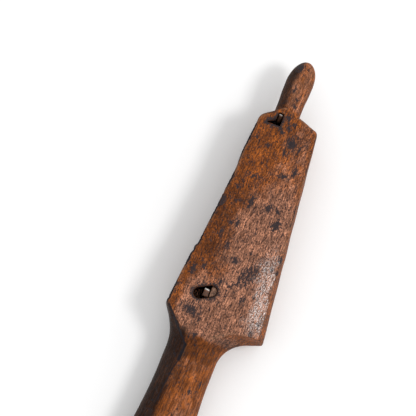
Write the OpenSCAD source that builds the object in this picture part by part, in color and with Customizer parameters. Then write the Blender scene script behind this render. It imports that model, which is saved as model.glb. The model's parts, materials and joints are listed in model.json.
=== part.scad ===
// Hand-carved muddler: one hardwood stock with a grip, a flat tapered bed and
// a round finger, and a two-tanged iron carried flat under the bed.
// X runs along the tool from the grip's butt to the finger's tip, Y to the
// left of the bed and Z up out of its flat face. Millimetres.

/* [Stock] */
// Length from the butt of the grip to the tip of the finger
tool_len = 280; // [276:1:290]
// Thickness of the board that the stock is carved from
board_t = 28.6; // [27:0.2:31]
// How far the bed's sole is planed up from the board's underside
sole_z = 0.6; // [0.4:0.1:1]

/* [Grip] */
// Distance of the palm swell from the butt
swell_x = 50; // [40:1:58]
// Half width of the grip at the palm swell
swell_r = 17.2; // [15:0.1:18]
// Distance of the waist from the butt
waist_x = 103; // [98:1:106]
// Half width of the grip at its waist
waist_r = 13.9; // [13:0.1:14.5]
// How far the grip's top and bottom are hollowed at the waist
waist_dip = 1.2; // [0.4:0.1:2]
// Radius of the rounded edge of the butt
butt_edge = 5; // [3:0.5:7]
// Radius of the concave sweep from the grip into the bed
sweep_r = 18; // [14:0.5:18]

/* [Bed] */
// Reach of the bed's left edge from the grip's axis, at the rear
left_rear = 22.6; // [20:0.1:24]
// Reach of the bed's left edge from the grip's axis, at the front
left_front = 13; // [12:0.1:14]
// Reach of the bed's right edge from the grip's axis, at the rear
right_rear = 33.2; // [29:0.1:34]
// Reach of the bed's right edge from the grip's axis, at the front
right_front = 19.6; // [18:0.1:21]
// Distance of the front corners from the butt
bed_front_x = 245; // [243:0.5:246]
// How far the front end rises from its corners to a point at the finger
gable = 7.5; // [7:0.5:9]
// Height of the bevel along the right edge, below the flat face
bevel_h = 9; // [6:0.5:12]
// Width of that bevel at the rear
bevel_rear = 3.9; // [2:0.1:5]
// Width of that bevel at the front
bevel_front = 1.2; // [1:0.1:2]
// Height of the relief along the lower left edge
relief_h = 14; // [10:0.5:16]
// Width of that relief
relief_w = 8; // [5:0.5:9]

/* [Finger] */
// Radius of the finger
finger_r = 7.2; // [6.5:0.1:7.5]
// Length of the finger's rounded nose
finger_nose = 11; // [9:0.5:15]
// How far the top of the finger lies below the flat face
finger_drop = 0.2; // [0.1:0.1:1]

/* [Iron] */
// Thickness of the iron's strip
strip_t = 2.6; // [2:0.1:3]
// Distance of the cutting edge to the right of the grip's axis
edge_y = 10; // [9:0.5:11]
// Distance of the iron's back to the left of the grip's axis
back_y = 8; // [7:0.5:9]
// Width of the bevel ground behind the cutting edge
ground_w = 5; // [3:0.5:7]
// Travel of the iron from its set depth up into its seat
travel = 2.5; // [1.5:0.1:2.5]
// Running gap around the tangs and above the strip
gap = 0.3; // [0.2:0.05:0.4]

/* [Throat] */
// Width of the mouth in front of the cutting edge
mouth = 1.4; // [1:0.1:2]
// Distance of the throat's rear wall from the butt
throat_rear_x = 160; // [156:1:166]
// Distance of the throat's front wall from the butt
throat_front_x = 228; // [222:1:232]
// Thickness of the lip that the throat leaves along the left edge
lip_t = 6; // [5:0.5:8]

/* [Hidden] */

$fn = 96;
clear = 1;

// Heights. The iron's flat and the grip's swell rest on z = 0.
face_z = board_t;
axis_z = board_t / 2;
finger_z = face_z - finger_drop - finger_r;

// Corners of the bed's rear end, where its face breaks into the two shoulders.
left_clip = [119.8, 5.9];
left_corner = [left_clip[0] + (left_rear - left_clip[1]) * 0.85, left_rear];
right_corner = [132, -right_rear];
corner_r = 2;

// Each tang as [x, y, length along X, width along Y].
rear_tang = [146, 4.9, 4.6, 3.2];
front_tang = [245.6, 3, 4.2, 2.4];

// Depth below the face of the tangs' ends and of the wedge.
rear_tang_drop = 0.6;
front_tang_drop = 0.8;
wedge_drop = 0.9;

// The rear mortise: an oval between two centres, which narrows to the tang's hole below.
oval_r = 2.9;
oval_void = [144.5, 8.3];
oval_wedge = [147.5, 2.7];
oval_depth = 16;

// The front mortise: a slot along the tool with a pointed foot to its left.
slot_rear_x = 241.2;
slot_depth = 9;
foot_w = 5.6;

function arc(cx, cy, r, from, to, steps) =
    [for (i = [0:steps]) let (a = from + (to - from) * i / steps) [cx + r * cos(a), cy + r * sin(a)]];

// 1 at the palm swell, falling smoothly to 0 at the waist and part of the way to the butt.
function hump(x) = pow(cos(90 * min(1, abs(x - swell_x) / (waist_x - swell_x))), 2);

// What the butt's rounded edge takes off any radius of the grip.
function butt_cut(x) = x >= butt_edge ? 0 : butt_edge - sqrt(pow(butt_edge, 2) - pow(butt_edge - x, 2));

// What the concave sweep adds to any radius of the grip beyond its start.
sweep_x = waist_x + 11;
function sweep(x) = x <= sweep_x ? 0 : sweep_r - sqrt(max(0, pow(sweep_r, 2) - pow(x - sweep_x, 2)));

// Reach of the grip's side, top and diagonal facets from its axis.
function side_r(x) = waist_r + (swell_r - waist_r) * hump(x) - butt_cut(x);
function top_r(x) = board_t / 2 - waist_dip * (1 - hump(x)) - butt_cut(x);
function diagonal_r(x) = (side_r(x) + top_r(x)) / 2 + sweep(x);

// Places along the grip at which its facets bend, moved on by a small stagger on the diagonals.
stagger = 0.6;
function stations(shift = 0) = concat(
    [0],
    [for (a = [22.5:22.5:90]) butt_edge * (1 - cos(a)) + shift],
    [for (i = [1:3]) butt_edge + (swell_x - butt_edge) * i / 3 + shift],
    [for (i = [1:6]) swell_x + (waist_x - swell_x) * i / 6 + shift]
);
function reversed(list) = [for (i = [len(list) - 1:-1:0]) list[i]];

// Puts the tool's own coordinates, butt at x = 0 and grip axis at y = 0, into the part's frame.
module placed() {
    translate([-tool_len / 2, (right_rear - left_rear) / 2, 0]) children();
}

// The outline of grip and bed seen from above.
module stock_plan() {
    polygon(concat(
        [for (x = stations()) [x, side_r(x)]],
        arc(sweep_x, waist_r + sweep_r, sweep_r, -90, -45, 5),
        [left_corner],
        arc(bed_front_x - corner_r, left_front - corner_r, corner_r, 90, 30, 5),
        [[bed_front_x + gable, 0]],
        arc(bed_front_x - corner_r, -right_front + corner_r, corner_r, -20, -90, 5),
        [right_corner],
        arc(sweep_x, -waist_r - sweep_r, sweep_r, 35, 90, 6),
        [for (x = reversed(stations())) [x, -side_r(x)]]
    ));
}

// The outline seen from the side, hollowed along the grip and planed under the bed.
module stock_side() {
    rise_x = sweep_x + 8;
    polygon(concat(
        [for (x = stations()) [x, axis_z + top_r(x)]],
        [[sweep_x, face_z - waist_dip], [rise_x, face_z], [tool_len, face_z]],
        [[tool_len, sole_z], [rise_x, sole_z], [sweep_x, waist_dip]],
        [for (x = reversed(stations())) [x, axis_z - top_r(x)]]
    ));
}

// The two diagonal facets of the grip and their sweep into the bed's shoulders.
module diagonal_profile() {
    bends = concat(stations(stagger), [for (a = [4:10:84]) sweep_x + sweep_r * sin(a)]);
    reach = 2 * right_rear;
    polygon(concat(
        [for (x = bends) [x, diagonal_r(x)]],
        [[sweep_x + sweep_r, reach], [tool_len, reach], [tool_len, -reach], [sweep_x + sweep_r, -reach]],
        [for (x = reversed(bends)) [x, -diagonal_r(x)]]
    ));
}

// Extrudes a profile drawn about the grip's axis and turns it round that axis.
module facet_pair(turn) {
    span = 6 * right_rear;
    translate([0, 0, axis_z]) rotate([turn, 0, 0]) translate([0, 0, -span / 2]) linear_extrude(span) children();
}

module carved_board() {
    intersection() {
        translate([0, 0, -clear]) linear_extrude(board_t + 2 * clear) stock_plan();
        translate([0, 2 * right_rear, 0]) rotate([90, 0, 0]) linear_extrude(4 * right_rear) stock_side();
        facet_pair(45) diagonal_profile();
        facet_pair(-45) diagonal_profile();
    }
}

module finger() {
    root_x = bed_front_x - 6;
    nose_x = tool_len - finger_nose;
    translate([0, 0, finger_z]) rotate([0, 90, 0]) rotate_extrude() polygon(concat(
        [[0, root_x], [finger_r, root_x]],
        [for (a = [0:10:80]) [finger_r * cos(a), nose_x + finger_nose * sin(a)]],
        [[0, tool_len]]
    ));
}

// The sloping band along the right edge, between the face and a wider foot.
module right_bevel() {
    run = bed_front_x - right_corner[0];
    turn = atan((right_rear - bevel_rear - right_front + bevel_front) / run);
    lean = atan((bevel_rear + bevel_front) / 2 / bevel_h);
    overrun = 30;
    translate([right_corner[0], -right_rear + bevel_rear, face_z]) rotate([0, 0, turn]) rotate([-lean, 0, 0])
        translate([-overrun, -overrun, -2 * bevel_h]) cube([run + 2 * overrun, overrun, 3 * bevel_h]);
}

// The sloping relief along the lower left edge, which starts behind the bed's rear corner.
module left_relief() {
    run = bed_front_x - left_corner[0];
    turn = atan((left_front - left_rear) / run);
    lean = atan(relief_w / relief_h);
    overrun = 10;
    translate([left_corner[0], left_rear, sole_z + relief_h]) rotate([0, 0, turn]) rotate([-lean, 0, 0])
        translate([-overrun, 0, -3 * relief_h]) cube([run + 3 * overrun, 3 * overrun, 3 * relief_h]);
}

// Plan of the iron's strip, grown by m all round: its ends taper to the width of a tang.
module strip_plan(m = 0) {
    tang_half = 2.2;
    x0 = rear_tang[0] - rear_tang[2] / 2 - m;
    x1 = front_tang[0] + front_tang[2] / 2 + m;
    taper = 8;
    polygon([
        [x0, rear_tang[1] - tang_half - m], [x0 + taper, -edge_y - m],
        [x1 - taper, -edge_y - m], [x1, front_tang[1] - tang_half - m],
        [x1, front_tang[1] + tang_half + m], [x1 - taper, back_y + m],
        [x0 + taper, back_y + m], [x0, rear_tang[1] + tang_half + m]
    ]);
}

// The recess in the sole that the iron's strip rises into.
seat_roof = strip_t + travel + gap;
module iron_seat() {
    translate([0, 0, -clear]) linear_extrude(seat_roof + clear) strip_plan(gap);
}

// The throat: open below and to the left, with a roof that slopes up from the mouth to the lip.
module throat() {
    mouth_y = -edge_y - mouth;
    far_y = left_rear + clear;
    slope = (face_z - lip_t - seat_roof) / (left_rear - mouth_y);
    translate([throat_rear_x, 0, 0]) rotate([90, 0, 90]) linear_extrude(throat_front_x - throat_rear_x) polygon([
        [mouth_y, -clear],
        [mouth_y, seat_roof],
        [far_y, seat_roof + slope * (far_y - mouth_y)],
        [far_y, -clear]
    ]);
}

// A square hole up through the stock for one tang.
module tang_hole(t) {
    translate([t[0] - t[2] / 2 - gap, t[1] - t[3] / 2 - gap, 0])
        cube([t[2] + 2 * gap, t[3] + 2 * gap, face_z + clear]);
}

// The oval of the rear mortise, seen from above.
module oval_plan(r) {
    along = oval_wedge - oval_void;
    turn = atan2(along[1], along[0]);
    steps = 16;
    polygon(concat(
        arc(oval_void[0], oval_void[1], r, turn + 90, turn + 270, steps),
        arc(oval_wedge[0], oval_wedge[1], r, turn - 90, turn + 90, steps)
    ));
}

// The slot behind the front tang and its foot, which narrows to a point on the left.
module front_slot() {
    y0 = front_tang[1] - front_tang[3] / 2 - gap;
    w = front_tang[3] + 2 * gap;
    translate([0, 0, face_z - slot_depth]) linear_extrude(slot_depth + clear) union() {
        translate([slot_rear_x, y0]) square([front_tang[0] - slot_rear_x, w]);
        polygon([
            [slot_rear_x, y0 + 1], [slot_rear_x + 0.6, y0 + w + foot_w - 1.5],
            [slot_rear_x + 1.4, y0 + w + foot_w - 1.8], [slot_rear_x + 3, y0 + 1]
        ]);
    }
}

module stock() {
    color("saddlebrown") placed() difference() {
        union() {
            carved_board();
            finger();
        }
        right_bevel();
        left_relief();
        throat();
        iron_seat();
        tang_hole(rear_tang);
        tang_hole(front_tang);
        translate([0, 0, face_z - oval_depth]) linear_extrude(oval_depth + clear) oval_plan(oval_r);
        front_slot();
    }
}

// One tang, from inside the strip up to the given height.
module tang(t, top) {
    translate([t[0] - t[2] / 2, t[1] - t[3] / 2, strip_t / 2]) cube([t[2], t[3], top - strip_t / 2]);
}

// What is ground away above the cutting edge.
module grinding() {
    land = 0.4;
    length = tool_len / 2;
    translate([throat_rear_x - 30, 0, 0]) rotate([90, 0, 90]) linear_extrude(length) polygon([
        [-edge_y - clear, land], [-edge_y, land], [-edge_y + ground_w, strip_t], [-edge_y - clear, strip_t]
    ]);
}

module iron() {
    color("dimgray") placed() union() {
        difference() {
            linear_extrude(strip_t) strip_plan();
            grinding();
        }
        tang(rear_tang, face_z - rear_tang_drop);
        tang(front_tang, face_z - front_tang_drop);
    }
}

// A slip of wood driven down beside the rear tang, filling that end of the oval.
module tang_wedge() {
    slack = 0.05;
    wedge_h = oval_depth - clear;
    side_y = rear_tang[1] - rear_tang[3] / 2 - gap;
    reach = 4 * oval_r;
    color("peru") placed() translate([0, 0, face_z - wedge_drop - wedge_h]) linear_extrude(wedge_h)
        intersection() {
            oval_plan(oval_r - slack);
            translate([oval_wedge[0] - reach / 2, side_y - slack - reach]) square(reach);
        }
}

stock();
iron();
tang_wedge();
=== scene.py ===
import json
import math

import bpy
import numpy as np
from mathutils import Matrix, Vector


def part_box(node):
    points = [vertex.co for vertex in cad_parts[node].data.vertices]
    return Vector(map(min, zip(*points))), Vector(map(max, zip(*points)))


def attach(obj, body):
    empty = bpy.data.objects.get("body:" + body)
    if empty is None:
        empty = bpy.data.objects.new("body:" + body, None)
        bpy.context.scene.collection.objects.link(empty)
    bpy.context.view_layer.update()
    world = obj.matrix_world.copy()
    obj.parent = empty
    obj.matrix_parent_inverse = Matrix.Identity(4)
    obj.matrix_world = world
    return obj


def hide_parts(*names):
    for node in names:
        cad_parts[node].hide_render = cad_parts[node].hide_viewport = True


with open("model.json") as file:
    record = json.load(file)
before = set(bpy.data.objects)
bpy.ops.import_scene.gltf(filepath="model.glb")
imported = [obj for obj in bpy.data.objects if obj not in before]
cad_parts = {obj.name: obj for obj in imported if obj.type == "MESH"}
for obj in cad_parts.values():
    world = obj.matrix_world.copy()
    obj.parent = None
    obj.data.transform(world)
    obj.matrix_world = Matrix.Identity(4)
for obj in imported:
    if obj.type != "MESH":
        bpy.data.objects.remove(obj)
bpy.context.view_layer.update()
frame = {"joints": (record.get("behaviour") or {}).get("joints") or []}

# Shapes are worked out in millimetres, in the tool's own coordinates: x from the grip's butt to
# the finger's tip, y to the left of the grip's axis, z up from the surface that the tool lies on.
MM = 0.001

stock_lo, stock_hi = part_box("stock")
iron_lo, iron_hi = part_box("iron")

# Half widths of the grip, and reaches of the bed's corners from the grip's axis.
SWELL_X, SWELL_R = 50.0, 17.2
WAIST_X, WAIST_R = 103.0, 13.9
WAIST_DIP = 1.2
BUTT_EDGE = 5.0
REAR_X, FRONT_X = 132.0, 245.0
LEFT_APEX_X, RIGHT_APEX_X = 253.3, 251.1
LEFT_REAR, LEFT_FRONT = 22.6, 13.0
RIGHT_REAR, RIGHT_FRONT = 33.2, 19.6
BEVEL_H, BEVEL_REAR, BEVEL_FRONT = 9.0, 3.9, 1.2
RELIEF_H, RELIEF_W = 14.0, 8.0

# The hollow sweeps from the grip into the shoulders: where each starts, its radius, and the angle
# in degrees at which it runs on straight.
LEFT_SWEEP, RIGHT_SWEEP = (114.3, 26, 38), (113.1, 17, 72)
LEFT_DIAGONAL, RIGHT_DIAGONAL = (115, 14, 41), (117.6, 15, 78)

# How far the front end runs back for each millimetre from the finger, on either side.
LEFT_SPLAY, RIGHT_SPLAY = 0.74, 0.31


TOOL_LEN = (stock_hi.x - stock_lo.x) / MM
FACE_Z = stock_hi.z / MM
AXIS_Z = FACE_Z / 2
SOLE_Z = 0.6
ORIGIN = Vector((stock_lo.x / MM, stock_hi.y / MM - LEFT_REAR, 0))


def to_frame(points):
    """Points in the tool's millimetres, moved to the frame's metres."""
    return (np.asarray(points) + np.array(ORIGIN)) * MM


def to_tool(corner):
    """A corner of a CAD box, in the tool's millimetres."""
    return np.array(corner) / MM - np.array(ORIGIN)


# The iron: a strip that lies flat, with a tang standing up at each end.
IRON_LO, IRON_HI = to_tool(iron_lo), to_tool(iron_hi)
STRIP_T = 2.6
GROUND_W = 5.0
TRAVEL = frame["joints"][0]["range_m"][1] / MM
GAP = 0.3
EDGE_Y, BACK_Y = IRON_LO[1], IRON_HI[1]
REAR_TANG = (146.0, 4.9, 4.6, 3.2)
FRONT_TANG = (245.6, 3.0, 4.2, 2.4)
REAR_TANG_DROP, FRONT_TANG_DROP, WEDGE_DROP = 0.6, 0.8, 0.9

# The throat and the seat above the strip.
MOUTH_Y = EDGE_Y - 1.4
THROAT_X = (160.0, 228.0)
LIP_T = 6.0
SEAT_ROOF = STRIP_T + TRAVEL + GAP

# The mortises of the two tangs.
OVAL_VOID, OVAL_WEDGE = (144.5, 8.3), (147.5, 2.7)
OVAL_R, OVAL_DEPTH = 2.9, 16.0
SLOT_X, SLOT_DEPTH = 241.2, 9.0
SLOT_Y0 = FRONT_TANG[1] - FRONT_TANG[3] / 2 - GAP
SLOT_Y1 = FRONT_TANG[1] + FRONT_TANG[3] / 2 + GAP

# The photograph looks down on the face from slightly behind the bed.
VIEW_WIDTH = 215.4
VIEW_X, VIEW_Y = 186.9, 20.3
PITCH = math.radians(8.0)
ROLL = math.radians(21.7)
DISTANCE = 900.0
VIEW_CENTRE = Vector(to_frame([(VIEW_X, VIEW_Y, FACE_Z)])[0])

# Iron stains and soaked-in dirt on the face and the finger:
# x, y, half size along the tool, half size across it, turn in degrees, strength.
STAINS = (
    (234.3, -7.9, 2.2, 2.0, 20, 0.9),
    (228.4, -5.7, 1.2, 1.0, 0, 0.7),
    (229.0, -7.6, 1.0, 0.8, 0, 0.6),
    (232.7, -12.7, 1.1, 0.9, 0, 0.7),
    (236.4, -15.8, 1.5, 0.9, 30, 0.5),
    (221.5, -14.7, 2.4, 0.8, 0, 0.8),
    (241.9, -3.2, 1.2, 1.0, 0, 0.7),
    (244.3, -5.2, 1.0, 0.9, 0, 0.7),
    (247.0, -1.7, 1.8, 1.3, 0, 0.5),
    (229.5, 3.6, 1.1, 0.9, 0, 0.6),
    (231.6, 10.5, 1.2, 0.9, 0, 0.6),
    (216.8, -9.5, 0.8, 3.6, 10, 0.55),
    (211.5, 3.7, 0.8, 5.0, 5, 0.4),
    (274.5, 2.3, 1.8, 1.4, 0, 0.8),
    (261.8, 1.6, 1.2, 0.8, 0, 0.6),
    (257.6, -1.7, 1.0, 0.8, 0, 0.6),
    (253.9, -2.6, 1.2, 0.9, 0, 0.6),
    (203.5, 10.0, 1.2, 0.9, 0, 0.6),
    (197.7, 1.0, 2.5, 1.5, 0, 0.7),
    (196.6, 7.6, 1.0, 4.0, 0, 0.35),
    (194.5, 15.0, 2.0, 1.2, 0, 0.8),
    (198.2, -9.2, 1.7, 1.6, 0, 0.8),
    (198.8, -14.0, 1.5, 1.0, 20, 0.5),
    (191.6, -15.8, 2.0, 1.8, 0, 0.8),
    (201.9, -21.8, 0.8, 0.8, 0, 0.6),
    (185.0, 7.0, 1.1, 1.0, 0, 0.7),
    (185.0, 3.4, 1.1, 1.0, 0, 0.7),
    (177.6, 9.6, 1.4, 1.1, 0, 0.7),
    (173.3, 4.1, 1.6, 1.0, 15, 0.5),
    (167.0, -2.8, 1.4, 1.2, 0, 0.7),
    (176.0, -25.0, 2.0, 1.6, 0, 0.7),
    (168.5, -25.7, 1.3, 1.1, 0, 0.6),
    (169.6, -22.0, 1.4, 1.0, 0, 0.5),
    (161.8, -12.0, 7.0, 3.4, -25, 0.52),
    (156.5, -9.0, 2.0, 1.6, 0, 0.6),
    (153.7, -6.0, 1.2, 1.0, 0, 0.6),
    (148.9, -13.8, 2.0, 0.8, 0, 0.5),
    (155.3, 16.0, 2.8, 1.0, 0, 0.7),
    (158.5, 10.7, 1.2, 0.9, 0, 0.6),
    (157.4, 19.5, 1.2, 1.0, 0, 0.6),
    (134.6, 9.4, 2.2, 4.0, -25, 0.65),
    (133.6, -24.0, 1.8, 1.2, 0, 0.5),
    (123.5, 2.7, 1.2, 1.0, 0, 0.6),
    (101.2, -10.0, 1.2, 1.0, 0, 0.6),
    (95.4, -6.0, 1.2, 1.0, 0, 0.6),
)

# Shallow cuts across the face, each from one (x, y) to another.
CUTS = (
    ((187.1, -3.0), (188.7, 11.0)),
    ((179.7, -1.0), (181.3, 13.0)),
    ((168.5, 3.0), (171.0, -1.5)),
    ((217.0, -14.0), (219.0, -5.0)),
)

# The crack in the grip's root, and the places that its line runs on through, from the grip's
# swell to the face's left corner.
CRACK = ((108.5, 5.5), (117.2, 5.1))
LINE_X = (60.0, 80.0, 86.5, 100.3, 108.5, 117.2, 124.0)
LINE_Y = (10.5, 9.4, 8.2, 7.0, 5.5, 5.1, 7.4)


# ---------------------------------------------------------------- shape helpers


def smooth_max(a, b, k):
    """The larger of two distances, with the crease between them rounded over about k."""
    h = np.maximum(k - np.abs(a - b), 0) / k
    return np.maximum(a, b) + h * h * k / 4


def smooth_min(a, b, k):
    return -smooth_max(-a, -b, k)


def step(lo, hi, v):
    """0 at lo, 1 at hi, smooth between and level beyond; lo may be the larger one."""
    t = np.clip((v - lo) / (hi - lo), 0, 1)
    return t * t * (3 - 2 * t)


def mix(a, b, t):
    return a + (b - a) * t


def along_bed(rear, front, x):
    """A size that changes evenly from the bed's rear corners to its front ones."""
    return mix(rear, front, (x - REAR_X) / (FRONT_X - REAR_X))


def ripple(u, v, length, seed):
    """Smooth unevenness of about unit height: seeded waves of about the given length."""
    rng = np.random.default_rng(seed)
    total = 0
    for _ in range(9):
        turn = rng.uniform(0, 2 * math.pi)
        wave = length * rng.uniform(0.6, 1.7)
        phase = rng.uniform(0, 2 * math.pi)
        total = total + np.sin((u * math.cos(turn) + v * math.sin(turn)) * 2 * math.pi / wave + phase)
    return total / 3


def sweep(x, start_radius_limit):
    """Rise of a hollow sweep that starts level and runs straight on from its limit angle."""
    start, radius, limit = start_radius_limit
    d = x - start
    bend = radius * math.sin(math.radians(limit))
    on_arc = np.clip(d, 0, bend)
    rise = radius - np.sqrt(radius**2 - on_arc**2)
    return rise + math.tan(math.radians(limit)) * np.maximum(d - bend, 0)


def reach_field(across, reach, x):
    """Signed distance from a reach that varies with x."""
    h = 0.05
    slope = (reach(x + h) - reach(x - h)) / (2 * h)
    return (across - reach(x)) / np.sqrt(1 + slope**2)


def capsule(x, y, a, b):
    """Distance in plan from the line between two points."""
    ax, ay = b[0] - a[0], b[1] - a[1]
    t = np.clip(((x - a[0]) * ax + (y - a[1]) * ay) / (ax * ax + ay * ay), 0, 1)
    return np.hypot(x - a[0] - t * ax, y - a[1] - t * ay)


def box_plan(x, y, x_range, y_range):
    across = np.maximum(x_range[0] - x, x - x_range[1])
    return np.maximum(across, np.maximum(y_range[0] - y, y - y_range[1]))


def tang_plan(x, y, tang, grow):
    half_x, half_y = tang[2] / 2 + grow, tang[3] / 2 + grow
    return box_plan(x, y, (tang[0] - half_x, tang[0] + half_x), (tang[1] - half_y, tang[1] + half_y))


def strip_plan(x, y, grow):
    """The strip's plan: straight edges, and ends that taper to the width of a tang."""
    half, taper = 2.2, 8.0
    x0 = REAR_TANG[0] - REAR_TANG[2] / 2
    x1 = FRONT_TANG[0] + FRONT_TANG[2] / 2
    d = box_plan(x, y, (x0, x1), (EDGE_Y, BACK_Y))
    ends = ((x0, 1, REAR_TANG[1]), (x1, -1, FRONT_TANG[1]))
    for x_end, way, mid in ends:
        for side, edge in ((1, BACK_Y), (-1, -EDGE_Y)):
            start = side * mid + half
            run = edge - start
            norm = math.hypot(run, taper)
            d = np.maximum(d, ((side * y - start) * taper - way * (x - x_end) * run) / norm)
    return d - grow


# ---------------------------------------------------------------- the stock's field


def hump(x):
    """1 at the palm swell, 0 at the waist."""
    t = np.minimum(1, np.abs(x - SWELL_X) / (WAIST_X - SWELL_X))
    return np.cos(t * math.pi / 2) ** 2


def butt_cut(x):
    """What the butt's rounded edge takes off any reach of the grip."""
    inside = np.clip(BUTT_EDGE - x, 0, BUTT_EDGE)
    return BUTT_EDGE - np.sqrt(BUTT_EDGE**2 - inside**2 + 1e-9)


def side_r(x):
    return WAIST_R + (SWELL_R - WAIST_R) * hump(x) - butt_cut(x)


def top_drop(x):
    """How far the grip's top lies below the board's top."""
    return WAIST_DIP * (1 - hump(x)) + butt_cut(x)


def left_diagonal_r(x):
    return (side_r(x) + AXIS_Z - top_drop(x)) / 2 + sweep(x, LEFT_DIAGONAL)


def right_diagonal_r(x):
    return (side_r(x) + AXIS_Z - top_drop(x)) / 2 + sweep(x, RIGHT_DIAGONAL)


def left_worn(x):
    """The left edge: worn hollow between the two end blocks, and splintered here and there."""
    hollow = 1.1 * step(165.5, 168.5, x) * step(224, 212, x)
    splinters = 0.5 * np.clip(ripple(x, 0, 5, 11) - 0.5, 0, 1) * step(132, 138, x)
    return along_bed(LEFT_REAR, LEFT_FRONT, x) - hollow - splinters


def left_reach(x):
    return smooth_min(side_r(x) + sweep(x, LEFT_SWEEP), left_worn(x), 1)


def right_straight(x):
    return along_bed(RIGHT_REAR, RIGHT_FRONT, x) - 0.4 - 0.15 * ripple(x, 0, 17, 12)


def right_reach(x):
    return smooth_min(side_r(x) + sweep(x, RIGHT_SWEEP), right_straight(x), 2.5)


def right_arris(x):
    return along_bed(RIGHT_REAR - BEVEL_REAR, RIGHT_FRONT - BEVEL_FRONT, x)


def roll_off(x):
    """How far the right edge's arris lies below the face."""
    return along_bed(1.5, 0.3, x)


def crown(x, y):
    """How far the face rolls off towards the right edge's arris."""
    width = along_bed(10, 4, x)
    t = np.clip((-y - right_arris(x) + width) / width, 0, 1.3)
    return roll_off(x) * t * t


def scars(x, y):
    """Depth of the cuts across the face, the crack, and small dents all over."""
    depth = 0.12 * np.clip(ripple(x, y, 4.5, 21) - 0.9, 0, 1)
    for a, b in CUTS:
        depth = depth + 0.28 * np.exp(-((capsule(x, y, a, b) / 0.45) ** 2))
    return depth + 0.9 * np.exp(-((capsule(x, y, *CRACK) / 0.45) ** 2))


def top_z(x, y):
    """Height of the tool's top: the bed's worn face and the slightly lower grip."""
    on_bed = step(115.5, 123.5, x)
    uneven = 0.10 * ripple(x, y * 2, 34, 3) + 0.06 * ripple(x * 0.4, y, 5, 4)
    lowered = 0.16 - uneven + scars(x, y)
    return FACE_Z - np.maximum(lowered, 0.01) - top_drop(x) * (1 - on_bed) - crown(x, y) * on_bed


def bottom_z(x, y):
    on_bed = step(114, 122, x)
    planed = 0.1 * np.maximum(ripple(x * 0.3, y, 7, 5), -0.4)
    return top_drop(x) * (1 - on_bed) + (SOLE_Z + planed) * on_bed


def left_side_field(x, y, z):
    """The left side, with a long relief sloping in below its lip."""
    lean = math.atan(RELIEF_W / RELIEF_H)
    edge = y - left_worn(x)
    relief = edge * math.cos(lean) - (z - SOLE_Z - RELIEF_H) * math.sin(lean)
    return smooth_max(reach_field(y, left_reach, x), np.where(x > 100, relief, -9), 2)


def right_side_field(x, y, z):
    """The right side, with a sloping band between the face's arris and the foot."""
    lean = np.arctan(along_bed(BEVEL_REAR, BEVEL_FRONT, x) / BEVEL_H)
    arris_z = FACE_Z - roll_off(x)
    bevel = (-y - right_arris(x)) * np.cos(lean) + (z - arris_z) * np.sin(lean)
    return smooth_max(reach_field(-y, right_reach, x), np.where(x > 118, bevel, -9), 1.2)


def diagonal_field(x, y, z):
    """The grip's four diagonal facets and their sweeps into the shoulders."""
    across = (np.abs(y) + np.abs(z - AXIS_Z)) / math.sqrt(2)
    across = across + 0.1 * (1 + ripple(x * 0.35, y + z, 6, 13))
    left = reach_field(across, left_diagonal_r, x)
    right = reach_field(across, right_diagonal_r, x)
    return np.where(y > 0, left, right)


def front_field(x, y):
    """The bed's front end, which rises from both corners to a point at the finger."""
    left = ((x - LEFT_APEX_X) + LEFT_SPLAY * y) / math.hypot(1, LEFT_SPLAY)
    right = ((x - RIGHT_APEX_X) - RIGHT_SPLAY * y) / math.hypot(1, RIGHT_SPLAY)
    return smooth_max(left, right, 1)


def board_field(x, y, z):
    """Grip and bed as one worn board, before anything is cut into it."""
    on_bed = step(118, 128, x)
    sides = smooth_max(left_side_field(x, y, z), right_side_field(x, y, z), 2)
    body = smooth_max(sides, diagonal_field(x, y, z), mix(3.0, 1.0, on_bed))
    crowned = step(-20, -27, y) * step(134, 142, x)
    top_round = mix(3.0, mix(0.5, 1.3, crowned), on_bed)
    body = smooth_max(body, z - top_z(x, y), top_round)
    body = smooth_max(body, bottom_z(x, y) - z, mix(2.6, 1.5, on_bed))
    corner_round = mix(0.9, 2.2, step(8, 11, np.abs(y + 3)))
    body = smooth_max(body, front_field(x, y), corner_round)
    return smooth_max(body, 0.05 - x, 1.5)


def finger_field(x, y, z):
    """A round finger, slightly fuller past its middle, with an egg-shaped nose."""
    nose = 13.0
    radius = 6.75 + 0.5 * step(252, 266, x) - 0.06 * ripple(x, y, 9, 14)
    bend = -0.55 * step(262, 278, x)
    off_axis = np.hypot(y - bend, z - (FACE_Z - 7.4))
    end = np.maximum(x - (TOOL_LEN - 0.1 - nose), 0) / nose * radius
    return smooth_max(np.hypot(off_axis, end) - radius, FRONT_X - 6 - x, 1)


def throat_field(x, y, z):
    lip_z = FACE_Z - LIP_T
    slope = (lip_z - SEAT_ROOF) / (LEFT_REAR - MOUTH_Y)
    roof = (z - SEAT_ROOF - slope * (y - MOUTH_Y)) / math.hypot(1, slope)
    roof = roof + 0.15 * (1 + ripple(x, y * 0.4, 5, 15))
    walls = np.maximum(THROAT_X[0] - x, x - THROAT_X[1])
    return smooth_max(smooth_max(roof, walls, 5), MOUTH_Y - y, 1)


def oval_plan(x, y):
    return capsule(x, y, OVAL_VOID, OVAL_WEDGE) - OVAL_R


def slot_plan(x, y):
    """The front mortise in plan: a slot along the tool with a pointed foot to its left."""
    slot = box_plan(x, y, (SLOT_X, FRONT_TANG[0]), (SLOT_Y0, SLOT_Y1))
    out = y - SLOT_Y1
    foot = np.maximum(SLOT_X - x - 0.1 * out, ((x - SLOT_X - 2.2) + 0.5 * out) / 1.12)
    foot = np.maximum(np.maximum(foot, SLOT_Y0 - y), out - 3.8)
    return slot, foot


def broken_corner(x, y, depth):
    """The sloping wall where the corner between slot and foot has crumbled away."""
    corner = ((x - SLOT_X - 4.0) + 0.9 * (y - SLOT_Y1)) / 1.35
    return np.maximum(np.maximum(corner, SLOT_Y0 - y), SLOT_X - x) + depth * 0.75


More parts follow.
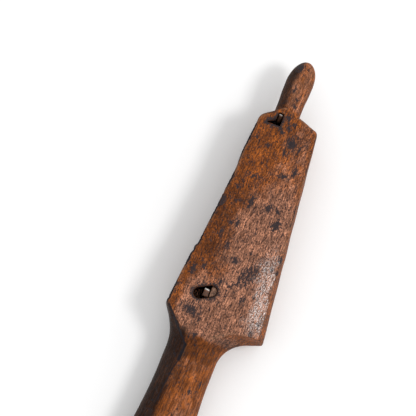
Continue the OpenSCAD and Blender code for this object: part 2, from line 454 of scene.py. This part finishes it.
def mortise_field(x, y, z):
    """The two mortises of the face, with crushed rims, and the tang holes below them."""
    depth = FACE_Z - z
    crushed = 0.7 * np.exp(-np.clip(depth, 0, 20) / 0.8)
    oval = smooth_max(oval_plan(x, y) - crushed * 0.8, depth - OVAL_DEPTH, 1)
    slot, foot = slot_plan(x, y)
    slot = smooth_min(slot - crushed * 0.3, foot - crushed * 0.3, 0.4)
    slot = smooth_min(smooth_max(slot, depth - SLOT_DEPTH, 1), broken_corner(x, y, depth), 0.5)
    holes = np.minimum(tang_plan(x, y, REAR_TANG, GAP), tang_plan(x, y, FRONT_TANG, GAP))
    return np.minimum(np.minimum(oval, slot), holes)


def stock_field(x, y, z):
    body = smooth_min(board_field(x, y, z), finger_field(x, y, z), 1.0)
    body = np.maximum(body, z - FACE_Z + 0.03)
    body = smooth_max(body, -throat_field(x, y, z), 1.2)
    seat = np.maximum(strip_plan(x, y, GAP), z - SEAT_ROOF)
    body = smooth_max(body, -seat, 0.5)
    return smooth_max(body, -mortise_field(x, y, z), 0.5)


# ---------------------------------------------------------------- the iron's and wedge's fields


def tang_field(x, y, z, tang, top, broken):
    """A square tang whose hammered end slopes down to its right and, where broken, to its rear."""
    sides = tang_plan(x, y, tang, -0.05) + 0.06 * (1 + ripple(x + y, z, 4, 31))
    flat = z - top
    slope = (z - top + 0.32 * (tang[1] + tang[3] * 0.1 - y)) / math.hypot(1, 0.32)
    rear = (z - top + broken * (tang[0] + tang[2] * 0.2 - x)) / math.hypot(1, broken)
    end = smooth_max(smooth_max(flat, slope, 0.2), rear, 0.3)
    return smooth_max(smooth_max(sides, end, 0.6), 1 - z, 0.3)


def iron_field(x, y, z):
    """The forged strip, hollow-hammered and ground to its cutting edge, with both tangs."""
    pitted = 0.04 + 0.05 * (1 + ripple(x, y, 3.2, 32))
    strip = smooth_max(strip_plan(x, y, -0.03), z - STRIP_T + pitted, 0.5)
    rise = STRIP_T - 0.4
    norm = math.hypot(rise, GROUND_W)
    ground = ((z - 0.4) * GROUND_W - (y - EDGE_Y) * rise) / norm
    strip = smooth_max(strip, ground, 0.2)
    strip = smooth_max(strip, 0.01 - z, 0.3)
    rear = tang_field(x, y, z, REAR_TANG, FACE_Z - REAR_TANG_DROP - 0.02, 0.25)
    front = tang_field(x, y, z, FRONT_TANG, FACE_Z - FRONT_TANG_DROP - 0.02, 1.6)
    return smooth_min(smooth_min(strip, rear, 1.0), front, 1.0)


def wedge_field(x, y, z):
    """A slip of wood split to fill the oval beside the rear tang, with its top bruised."""
    side_y = REAR_TANG[1] - REAR_TANG[3] / 2 - GAP
    plan = smooth_max(oval_plan(x, y) + 0.08, y - side_y + 0.08, 0.4)
    top = FACE_Z - WEDGE_DROP
    bruised = 0.12 * (1 + ripple(x, y, 2.2, 41)) + 0.02
    body = smooth_max(plan, z - top + bruised, 0.6)
    return smooth_max(body, top - OVAL_DEPTH + 1.03 - z, 0.4)


# ---------------------------------------------------------------- meshing a field


def spaced(lo, hi, fine, coarse, close_to):
    """Grid lines from lo to hi: fine apart near the given places, coarse apart elsewhere."""
    lines = [lo]
    while lines[-1] < hi:
        near = any(a <= lines[-1] <= b for a, b in close_to)
        lines.append(lines[-1] + (fine if near else coarse))
    return np.array(lines)


def net_vertices(field, lines):
    """One point in each cell that the surface crosses, at the mean of its edge crossings."""
    shape = tuple(n - 1 for n in field.shape)
    total = np.zeros(shape + (3,), np.float32)
    count = np.zeros(shape, np.float32)
    for axis in range(3):
        a = np.moveaxis(field, axis, 0)
        f0, f1 = a[:-1], a[1:]
        crossing = (f0 < 0) != (f1 < 0)
        t = np.where(crossing, f0 / np.where(crossing, f0 - f1, 1), 0)
        line = lines[axis]
        place = line[:-1, None, None] + t * np.diff(line)[:, None, None]
        crossing = np.moveaxis(crossing, 0, axis)
        place = np.moveaxis(place, 0, axis)
        others = [i for i in range(3) if i != axis]
        for shift in ((0, 0), (0, 1), (1, 0), (1, 1)):
            cut = [slice(None)] * 3
            for other, s in zip(others, shift):
                cut[other] = slice(s, field.shape[other] - 1 + s)
            c = crossing[tuple(cut)]
            count += c
            total[..., axis] += np.where(c, place[tuple(cut)], 0)
            for other, s in zip(others, shift):
                size = [1, 1, 1]
                size[other] = shape[other]
                fixed = lines[other][s:shape[other] + s].reshape(size)
                total[..., other] += np.where(c, fixed, 0)
    cells = np.nonzero(count > 0)
    index = np.full(shape, -1, np.int64)
    index[cells] = np.arange(len(cells[0]))
    return total[cells] / count[cells][:, None], index


def net_quads(field, index):
    """A quad across each grid edge that the surface crosses, facing away from the solid."""
    quads = []
    for axis in range(3):
        u, v = [i for i in range(3) if i != axis]
        low = np.take(field, range(field.shape[axis] - 1), axis)
        high = np.take(field, range(1, field.shape[axis]), axis)
        inner = [slice(None)] * 3
        inner[u] = slice(1, -1)
        inner[v] = slice(1, -1)
        low, high = low[tuple(inner)], high[tuple(inner)]
        out = (low < 0) & (high >= 0)
        into = (low >= 0) & (high < 0)
        for mask, flip in ((out, axis == 1), (into, axis != 1)):
            place = list(np.nonzero(mask))
            corners = []
            for du, dv in ((0, 0), (1, 0), (1, 1), (0, 1)):
                at = list(place)
                at[u] = place[u] + du
                at[v] = place[v] + dv
                corners.append(index[tuple(at)])
            quad = np.stack(corners, 1)
            quads.append(quad[:, ::-1] if flip else quad)
    return np.concatenate(quads)


def gradient(shape, points, h=0.04):
    """Unit normals of a field at the given points, and the field's slope there."""
    g = np.zeros_like(points)
    for axis in range(3):
        for sign in (1, -1):
            moved = points.copy()
            moved[:, axis] += sign * h
            g[:, axis] += sign * shape(*moved.T)
    g /= 2 * h
    slope = np.maximum(np.linalg.norm(g, axis=1), 0.2)
    return g / slope[:, None], slope


def settle(shape, points, most=0.25):
    """Moves points onto the surface along the field's own slope."""
    normal, slope = gradient(shape, points)
    away = np.clip(shape(*points.T) / slope, -most, most)
    return points - normal * away[:, None]


def neighbour_mean(values, quads):
    """Mean of each vertex's values over the vertices that share an edge with it."""
    total = np.zeros_like(values)
    count = np.zeros(len(values))
    for i in range(4):
        a, b = quads[:, i], quads[:, (i + 1) % 4]
        np.add.at(total, a, values[b])
        np.add.at(count, a, 1)
    count = np.maximum(count, 1)
    return total / (count[:, None] if values.ndim == 2 else count)


def mesh_field(shape, lines):
    """Closed quad mesh of the solid where the field is negative, in the tool's millimetres."""
    grid = np.meshgrid(*lines, indexing="ij", sparse=True)
    field = np.broadcast_to(shape(*grid), tuple(len(line) for line in lines)).astype(np.float32)
    points, index = net_vertices(field, lines)
    quads = net_quads(field, index)
    points = points.astype(float)
    for _ in range(3):
        points = settle(shape, points)
        points = mix(points, neighbour_mean(points, quads), 0.45)
    for _ in range(3):
        points = settle(shape, points)
    return points, quads


def put_attribute(mesh, name, values):
    layer = mesh.attributes.new(name, "FLOAT", "POINT")
    layer.data.foreach_set("value", np.clip(values, 0, 1).astype(np.float32))


def make_piece(name, points, quads, attributes):
    """A mesh object of the given quads, in the frame, with one value a vertex for each attribute."""
    mesh = bpy.data.meshes.new(name)
    mesh.from_pydata(to_frame(points).tolist(), [], quads.tolist())
    for key, values in attributes.items():
        put_attribute(mesh, key, values)
    mesh.shade_smooth()
    piece = bpy.data.objects.new(name, mesh)
    bpy.context.scene.collection.objects.link(piece)
    print(name, len(points), "points", len(quads), "quads")
    return piece


def convexity(points, quads, normal):
    """How sharply the surface turns outwards at each vertex, in millimetres off its neighbours."""
    bulge = -np.sum((neighbour_mean(points, quads) - points) * normal, axis=1)
    return neighbour_mean(bulge, quads)


# ---------------------------------------------------------------- where the wood is stained and worn, and where shade and highlight are painted


def near_line(x, y, a, b, width):
    return np.exp(-((capsule(x, y, a, b) / width) ** 2))


def stain_map(x, y, upward):
    """1 at the heart of each stain, falling off round it."""
    most = np.zeros_like(x)
    for sx, sy, half_x, half_y, turn, strength in STAINS:
        c, s = math.cos(math.radians(turn)), math.sin(math.radians(turn))
        u = ((x - sx) * c + (y - sy) * s) / half_x
        v = ((y - sy) * c - (x - sx) * s) / half_y
        most = np.maximum(most, strength * np.exp(-0.55 * (u * u + v * v)))
    return most * upward


def rim_map(x, y, upward):
    """Dirt and iron black on the face round the two mortises."""
    slot, foot = slot_plan(x, y)
    plan = np.minimum(np.minimum(oval_plan(x, y), slot), foot)
    lower = near_line(x, y, (238.5, -1.0), (240.5, 1.0), 1.5)
    tail = near_line(x, y, (150.0, 1.2), (153.5, 0.2), 1.4)
    ring = np.exp(-((np.maximum(plan, 0) / 1.5) ** 2))
    return np.maximum(ring, 0.7 * np.maximum(lower, tail)) * upward


def mortise_shade_map(x, y, z, normal):
    """Painted shade: the walls and floors of the two mortises, down to a little below the slot's floor,
    which are painted black.
    """
    top = top_z(x, y)
    in_mortise = step(0.5, 0.2, np.abs(mortise_field(x, y, z))) * step(0.4, 1.6, top - z)
    in_mortise = in_mortise * step(-SLOT_DEPTH - 9, -SLOT_DEPTH, z - FACE_Z)
    level_at_face = np.abs(normal[:, 2]) * (top - z < 1)
    return in_mortise * step(0.95, 0.7, level_at_face)


def lines_and_edge_shade_map(x, y, z, up):
    """Dark lines: painted shade in the crack and along the face's left edge, and dark lines along the
    grip's left-facet arris, the face's rear edges and its right arris.
    """
    crack = near_line(x, y, *CRACK, 0.9)
    off_line = y - np.interp(x, LINE_X, LINE_Y)
    grip_arris = 0.75 * np.exp(-((off_line / 0.6) ** 2)) * step(62, 90, x) * step(118, 116, x)
    rear_left = 0.8 * near_line(x, y, (117.5, 5.4), (133.5, 20.5), 0.7)
    rear_right = 0.85 * near_line(x, y, (126.2, -12.5), (133.4, -30.5), 0.6)
    high = step(FACE_Z - 5, FACE_Z - 3, z) * step(0.0, 0.4, up)
    left_edge = np.exp(-(((left_worn(x) - y) / 1.1) ** 2)) * step(FACE_Z - 3.5, FACE_Z - 1, z)
    left_edge = left_edge * step(-0.9, 0.5, ripple(x, 0, 19, 51)) * (x > 131) * (x < 246)
    arris_z = FACE_Z - roll_off(x)
    right_edge = np.exp(-((np.hypot(-y - right_arris(x), z - arris_z) / 0.8) ** 2))
    right_edge = right_edge * step(-1.2, 0.3, ripple(x, 0, 23, 52)) * (x > 131) * (x < 245)
    lines = np.maximum(np.maximum(crack, grip_arris), np.maximum(rear_left, rear_right)) * high
    return np.maximum(lines, np.maximum(left_edge, 0.8 * right_edge))


def patina_and_sheen_map(x, y, up):
    """0 where the wood is orange, 1 where handling has turned it purple-brown; on upward faces the
    purple-brown also carries a painted sheen.
    """
    face = step(16, -12, y + 0.08 * (x - 190) + 3 * ripple(x, y, 30, 61))
    face = np.maximum(face, step(172, 140, x) * 0.85) * step(-33, -26, y + 0.1 * (132 - x))
    face = face * (1 - 0.7 * step(14, 20, y + 0.08 * (x - 132))) * mix(1, 0.45, step(190, 222, x))
    grip = 0.4 + 0.2 * ripple(x * 0.4, y, 20, 62)
    finger = 0.5
    tone = mix(mix(grip, face, step(118, 124, x)), finger, step(250, 253, x))
    root = step(110, 114, x) * step(126, 121, x)
    return 0.85 * tone * (1 - 0.8 * root) * step(0.2, 0.75, up)


def shade_map(x, y, normal):
    """Painted shade: darkens the wood where it faces left or down, on the grip's left facet and where the
    right shoulder faces right, and darkens the tops of the grip's root, the bed's rear and middle, and
    the grip a little.
    """
    side, up = normal[:, 1], normal[:, 2]
    on_grip = step(130, 122, x)
    on_finger = step(248, 253, x)
    off_line = y - np.interp(x, LINE_X, LINE_Y)
    grip_left = on_grip * np.maximum(0.88 * step(-0.6, 0.9, off_line), 0.5 * step(-9, 0, off_line))
    left = step(0.1, 0.6, side) * np.maximum(mix(0.6, 0.95, step(138, 130, x)), 0.85 * on_finger)
    right = 0.6 * step(-0.35, -0.7, side) * step(137, 132, x) * step(120, 125, x)
    root = 0.42 * step(106, 114, x) * step(128, 121, x)
    rear = 0.25 * step(150, 130, x) * step(121, 127, x)
    middle = 0.42 * step(216, 200, x) * step(146, 172, x) * step(-7, 10, y)
    below = 0.35 * step(-0.3, -0.8, up)
    top = np.maximum(np.maximum(root, rear), middle) * step(0.3, 0.8, up) + 0.1 * on_grip
    sides = np.maximum(np.maximum(left, right), grip_left * step(-0.7, -0.3, up))
    return np.maximum(sides, np.maximum(top, below))


def gloss_and_highlight_map(x, y, up):
    """The rubbed band along the rolled-off right side of the face: glossier there, and painted pale there
    as a painted highlight.
    """
    across = -y - right_arris(x) + 1.5 * ripple(x, y, 9, 71)
    band = step(-13, -5, across) * step(0.5, -1.5, across)
    return band * step(130, 142, x) * step(188, 160, x) * step(0.5, 0.8, up)


def stock_attributes(points, quads):
    normal, _ = gradient(stock_field, points)
    x, y, z = points.T
    up = normal[:, 2]
    upward = step(0.2, 0.6, up) * step(FACE_Z - 7, FACE_Z - 4, z)
    wear = step(0.004, 0.035, convexity(points, quads, normal))
    return {
        "stain": np.maximum(stain_map(x, y, upward), 0.8 * rim_map(x, y, upward)),
        "line": lines_and_edge_shade_map(x, y, z, up),
        # inside: painted shade of the mortises' walls
        "inside": mortise_shade_map(x, y, z, normal),
        # patina: purple-brown handling patina with painted sheen
        "patina_and_sheen": patina_and_sheen_map(x, y, up),
        # shade: painted shade, strongest on left- and down-facing surfaces
        "shade": shade_map(x, y, normal),
        # gloss: the rubbed band, glossier and also carrying the painted highlight
        "gloss": gloss_and_highlight_map(x, y, up),
        "handled": np.maximum(step(128, 118, x), 0.6 * step(250, 256, x)),
        "wear": wear,
    }


def iron_attributes(points):
    """Bright where the cutting edge is honed and where the tangs' ends have been struck."""
    x, y, z = points.T
    honed = step(EDGE_Y + 1.6, EDGE_Y + 0.8, y) * step(1.6, 1.1, z)
    tang_x = np.where(x > (THROAT_X[0] + THROAT_X[1]) / 2, FRONT_TANG[0], REAR_TANG[0])
    struck = step(FACE_Z - 2.4, FACE_Z - 1.2, z) * step(tang_x + 0.9, tang_x + 1.8, x)
    return {"bright": np.maximum(honed, struck)}


# ---------------------------------------------------------------- node helpers


def put(tree, kind, inputs, **settings):
    """Adds a node; each input is linked if it is given as a socket and set if it is a value."""
    node = tree.nodes.new(kind)
    for key, value in settings.items():
        setattr(node, key, value)
    for key, value in inputs.items():
        if isinstance(value, bpy.types.NodeSocket):
            tree.links.new(value, node.inputs[key])
        else:
            node.inputs[key].default_value = value
    return node


def maths(tree, operation, a, b):
    return put(tree, "ShaderNodeMath", {0: a, 1: b}, operation=operation).outputs[0]


def add(tree, a, b):
    return maths(tree, "ADD", a, b)


def times(tree, a, b):
    return maths(tree, "MULTIPLY", a, b)


def rise(tree, value, lo, hi, bottom=0.0, top=1.0):
    """Bottom where the value is lo or less, top where it is hi or more, smooth between."""
    inputs = {"Value": value, "From Min": lo, "From Max": hi, "To Min": bottom, "To Max": top}
    return put(tree, "ShaderNodeMapRange", inputs, interpolation_type="SMOOTHSTEP").outputs["Result"]


def blend(tree, amount, a, b):
    """Colour a where the amount is 0 and b where it is 1."""
    return put(tree, "ShaderNodeMix", {0: amount, 6: a, 7: b}, data_type="RGBA").outputs[2]


def mixed(tree, amount, a, b):
    """Value a where the amount is 0 and b where it is 1."""
    return put(tree, "ShaderNodeMix", {0: amount, 2: a, 3: b}, data_type="FLOAT").outputs[0]


def darken(tree, colour, factor):
    """A colour times a single value."""
    node = put(tree, "ShaderNodeVectorMath", {0: colour, "Scale": factor}, operation="SCALE")
    return node.outputs[0]


def millimetres(tree):
    place = put(tree, "ShaderNodeTexCoord", {}).outputs["Object"]
    return stretch(tree, place, (1 / MM, 1 / MM, 1 / MM))


def stretch(tree, place, factors):
    inputs = {0: place, 1: factors}
    return put(tree, "ShaderNodeVectorMath", inputs, operation="MULTIPLY").outputs[0]


def noise(tree, place, scale, detail=2.0, roughness=0.55):
    inputs = {"Vector": place, "Scale": scale, "Detail": detail, "Roughness": roughness}
    return put(tree, "ShaderNodeTexNoise", inputs).outputs[0]


def painted(tree, name):
    return put(tree, "ShaderNodeAttribute", {}, attribute_name=name).outputs["Fac"]


def new_material(name):
    material = bpy.data.materials.new(name)
    material.use_nodes = True
    tree = material.node_tree
    return material, tree, tree.nodes["Principled BSDF"]


def plug(tree, shader, inputs):
    for key, value in inputs.items():
        if isinstance(value, bpy.types.NodeSocket):
            tree.links.new(value, shader.inputs[key])
        else:
            shader.inputs[key].default_value = value


def relief(tree, height, strength, distance):
    inputs = {"Strength": strength, "Distance": distance, "Height": height}
    return put(tree, "ShaderNodeBump", inputs).outputs[0]


# ---------------------------------------------------------------- materials

# The wood where it is least and most handled (the purple-brown also carrying painted sheen), its pores,
# its stains (the soot black also painted as shade in the mortises), and a painted highlight on the rubbed
# edge.
ORANGE = (0.313, 0.085, 0.0135, 1)
PURPLE_AND_SHEEN = (0.470, 0.208, 0.122, 1)
PORE = (0.045, 0.018, 0.014, 1)
SOOT_AND_SHADE = (0.014, 0.011, 0.014, 1)
ASH = (0.040, 0.031, 0.033, 1)
PAINTED_HIGHLIGHT = (0.62, 0.56, 0.53, 1)


def pebbles(tree, mm):
    """Distance from the middle of each small scale of the crazed old finish."""
    inputs = {"Vector": stretch(tree, mm, (0.7, 1.0, 1.0)), "Scale": 1.25, "Randomness": 1.0}
    return put(tree, "ShaderNodeTexVoronoi", inputs).outputs["Distance"]


def bare_wood(tree, mm, fibre, pebble, cloud, pores):
    """Orange to purple-brown wood, the purple-brown partly painted sheen, with pores, streaks and rubbed
    edges, under the painted shade of the shade attribute.
    """
    handled = painted(tree, "handled")
    fleck = noise(tree, stretch(tree, mm, (0.6, 1.0, 1.0)), 0.3, 4.0, 0.7)
    # Purple-brown patina with painted sheen, on upward faces only.
    patina_and_sheen = rise(tree, add(tree, painted(tree, "patina_and_sheen"), fleck), 0.65, 1.25)
    colour = blend(tree, patina_and_sheen, ORANGE, PURPLE_AND_SHEEN)
    colour = darken(tree, colour, rise(tree, fibre, 0.34, 0.66, 0.48, 1.50))
    colour = darken(tree, colour, rise(tree, cloud, 0.36, 0.62, 1.12, 0.76))
    soft = noise(tree, stretch(tree, mm, (0.5, 1.0, 1.0)), 0.35, 2.0, 0.6)
    colour = darken(tree, colour, rise(tree, soft, 0.34, 0.64, 1.12, 0.82))
    porous = times(tree, rise(tree, pores, 0.50, 0.62), rise(tree, handled, 0.0, 1.0, 0.92, 0.45))
    colour = blend(tree, porous, colour, PORE)
    scaly = rise(tree, pebble, 0.15, 0.70, 1.15, 0.68)
    colour = darken(tree, colour, mixed(tree, handled, scaly, 0.9))
    long_grain = noise(tree, stretch(tree, mm, (0.04, 1.0, 1.0)), 0.8, 3.0, 0.7)
    streaks = rise(tree, long_grain, 0.34, 0.66, 0.6, 1.2)
    colour = darken(tree, colour, mixed(tree, handled, 1.0, streaks))
    rubbed = times(tree, painted(tree, "wear"), rise(tree, cloud, 0.35, 0.6))
    colour = blend(tree, times(tree, rubbed, 0.35), colour, (0.36, 0.19, 0.11, 1))
    # Painted shade: the shade attribute darkens the colour to as little as a tenth.
    return darken(tree, colour, rise(tree, painted(tree, "shade"), 0.0, 1.0, 1.0, 0.1))


def marked(tree, mm, colour, pores):
    """The wood's colour under its stains, specks, painted highlight and dark lines (partly painted
    shade), and the painted shade in the mortises.
    """
    ragged = noise(tree, stretch(tree, mm, (0.6, 1.0, 1.0)), 0.9, 5.0, 0.8)
    torn = rise(tree, ragged, 0.35, 0.65, 0.1, 0.9)
    soaked = rise(tree, add(tree, painted(tree, "stain"), torn), 0.62, 0.98, 0.0, 0.97)
    colour = blend(tree, soaked, colour, blend(tree, ragged, SOOT_AND_SHADE, ASH))
    speck = rise(tree, noise(tree, stretch(tree, mm, (0.7, 1.0, 1.0)), 0.42, 2.0, 0.5), 0.64, 0.72)
    colour = blend(tree, times(tree, speck, 0.8), colour, SOOT_AND_SHADE)
    # Painted highlight: the rubbed band painted pale grey, away from the pores.
    painted_highlight = times(tree, painted(tree, "gloss"), rise(tree, pores, 0.47, 0.40))
    colour = blend(tree, times(tree, painted_highlight, 0.80), colour, PAINTED_HIGHLIGHT)
    # Dark lines, with painted shade in the crack and along the left edge.
    line = rise(tree, add(tree, painted(tree, "line"), ragged), 0.80, 1.25)
    colour = blend(tree, line, colour, SOOT_AND_SHADE)
    # Painted shade: the mortises' walls and floors painted black.
    return blend(tree, painted(tree, "inside"), colour, SOOT_AND_SHADE)


def wood_material():
    material, tree, shader = new_material("stained_beech")
    mm = millimetres(tree)
    fibre = noise(tree, stretch(tree, mm, (0.16, 1.0, 1.0)), 1.4, 3.0, 0.7)
    pebble = pebbles(tree, mm)
    cloud = noise(tree, mm, 0.12, 3.0, 0.6)
    grit = noise(tree, mm, 1.1, 2.0, 0.6)
    gloss = times(tree, painted(tree, "gloss"), rise(tree, grit, 0.36, 0.56))
    pores = noise(tree, stretch(tree, mm, (0.5, 1.0, 1.0)), 1.8, 3.0, 0.65)
    bare = bare_wood(tree, mm, fibre, pebble, cloud, pores)
    height = add(tree, times(tree, fibre, 0.7), times(tree, pebble, -0.5))
    plug(tree, shader, {
        "Base Color": marked(tree, mm, bare, pores),
        "Roughness": rise(tree, gloss, 0.0, 1.0, 0.50, 0.16),
        "Specular IOR Level": rise(tree, gloss, 0.0, 1.0, 0.09, 1.0),
        "Normal": relief(tree, height, 0.7, 0.0006),
    })
    return material


def iron_material():
    """Forged iron, brown with old rust, bright at the honed edge and the struck ends."""
    material, tree, shader = new_material("rusted_iron")
    mm = millimetres(tree)
    blotch = noise(tree, mm, 0.8, 4.0, 0.65)
    grain = noise(tree, mm, 3.0, 2.0, 0.6)
    rust = blend(tree, rise(tree, blotch, 0.38, 0.62), (0.035, 0.026, 0.022, 1), (0.16, 0.062, 0.028, 1))
    bright = times(tree, painted(tree, "bright"), rise(tree, grain, 0.30, 0.42))
    colour = blend(tree, bright, rust, (0.55, 0.53, 0.5, 1))
    plug(tree, shader, {
        "Base Color": colour,
        "Metallic": rise(tree, bright, 0.0, 1.0, 0.35, 1.0),
        "Roughness": rise(tree, bright, 0.0, 1.0, 0.62, 0.3),
        "Normal": relief(tree, blotch, 0.6, 0.0004),
    })
    return material


def wedge_material():
    """The wedge's end grain, pale under a smear of dirt."""
    material, tree, shader = new_material("wedge_end_grain")
    mm = millimetres(tree)
    rings = noise(tree, stretch(tree, mm, (0.5, 2.2, 0.25)), 1.2, 2.0, 0.6)
    dirt = noise(tree, mm, 1.1, 3.0, 0.7)
    colour = blend(tree, rise(tree, rings, 0.35, 0.65), (0.15, 0.07, 0.04, 1), (0.30, 0.16, 0.10, 1))
    colour = darken(tree, colour, rise(tree, dirt, 0.4, 0.62, 1.0, 0.35))
    plug(tree, shader, {
        "Base Color": colour,
        "Roughness": 0.6,
        "Specular IOR Level": 0.25,
        "Normal": relief(tree, rings, 0.5, 0.0003),
    })
    return material


# ---------------------------------------------------------------- the three pieces


def hand_over(piece, node, body, material):
    piece.data.materials.append(material)
    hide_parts(node)
    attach(piece, body)


def build_stock():
    fine = ((0, 6), (108, 138), (139, 155), (238, 256), (266, 284))
    lines = [
        spaced(-1.2, TOOL_LEN + 1.2, 0.5, 0.72, fine),
        spaced(-RIGHT_REAR - 1.2, LEFT_REAR + 1.2, 0.6, 0.6, ()),
        spaced(-1.2, FACE_Z + 1.2, 0.66, 0.66, ()),
    ]
    points, quads = mesh_field(stock_field, lines)
    piece = make_piece("stock_carved", points, quads, stock_attributes(points, quads))
    hand_over(piece, "stock", "stock", wood_material())


def build_iron():
    upright = ((EDGE_Y - 1, EDGE_Y + 1), (1, 7))
    lines = [
        spaced(IRON_LO[0] - 1, IRON_HI[0] + 1, 0.4, 0.7, ((142, 149), (242, 249))),
        spaced(EDGE_Y - 1, BACK_Y + 1, 0.35, 0.6, upright),
        spaced(-0.9, FACE_Z + 1, 0.35, 0.6, ((-1, 3.5), (FACE_Z - 3, FACE_Z))),
    ]
    points, quads = mesh_field(iron_field, lines)
    piece = make_piece("iron_forged", points, quads, iron_attributes(points))
    hand_over(piece, "iron", "iron", iron_material())


def build_wedge():
    lines = [
        spaced(OVAL_WEDGE[0] - 5, OVAL_WEDGE[0] + 5, 0.25, 0.25, ()),
        spaced(OVAL_WEDGE[1] - 5, OVAL_WEDGE[1] + 5, 0.25, 0.25, ()),
        spaced(FACE_Z - WEDGE_DROP - OVAL_DEPTH, FACE_Z, 0.4, 0.4, ()),
    ]
    points, quads = mesh_field(wedge_field, lines)
    piece = make_piece("wedge_slip", points, quads, {})
    hand_over(piece, "tang_wedge", "stock", wedge_material())


# ---------------------------------------------------------------- floor, light, camera


def build_floor():
    _, tree, shader = new_material("floor")
    plug(tree, shader, {"Base Color": (0.95, 0.95, 0.95, 1), "Roughness": 0.8, "Specular IOR Level": 0.1})
    mesh = bpy.data.meshes.new("floor")
    mesh.from_pydata([(-3, -3, 0), (3, -3, 0), (3, 3, 0), (-3, 3, 0)], [], [(0, 1, 2, 3)])
    mesh.materials.append(bpy.data.materials["floor"])
    floor = bpy.data.objects.new("floor", mesh)
    bpy.context.scene.collection.objects.link(floor)


def build_world(strength):
    world = bpy.data.worlds.new("studio")
    world.use_nodes = True
    world.node_tree.nodes["Background"].inputs["Color"].default_value = (1, 1, 1, 1)
    world.node_tree.nodes["Background"].inputs["Strength"].default_value = strength
    bpy.context.scene.world = world


def build_camera():
    data = bpy.data.cameras.new("camera")
    data.sensor_width = 36
    data.lens = 36 * DISTANCE / VIEW_WIDTH
    camera = bpy.data.objects.new("camera", data)
    bpy.context.scene.collection.objects.link(camera)
    look = Vector((math.sin(PITCH), 0, -math.cos(PITCH)))
    right = look.cross(Vector((math.cos(ROLL), math.sin(ROLL), 0))).normalized()
    turn = Matrix((right, right.cross(look), -look)).transposed().to_4x4()
    camera.matrix_world = Matrix.Translation(VIEW_CENTRE - look * DISTANCE * MM) @ turn
    bpy.context.scene.camera = camera


def area_light(name, place, size, power):
    data = bpy.data.lights.new(name, "AREA")
    data.size = size
    data.energy = power
    lamp = bpy.data.objects.new(name, data)
    lamp.location = VIEW_CENTRE + Vector(place)
    lamp.rotation_euler = (-Vector(place)).to_track_quat("-Z", "Y").to_euler()
    bpy.context.scene.collection.objects.link(lamp)


build_stock()
build_iron()
build_wedge()
build_floor()
build_world(0.9)
build_camera()
area_light("key", (0.15, -0.65, 0.95), 0.28, 4.6)
bpy.context.scene.view_settings.view_transform = "Standard"
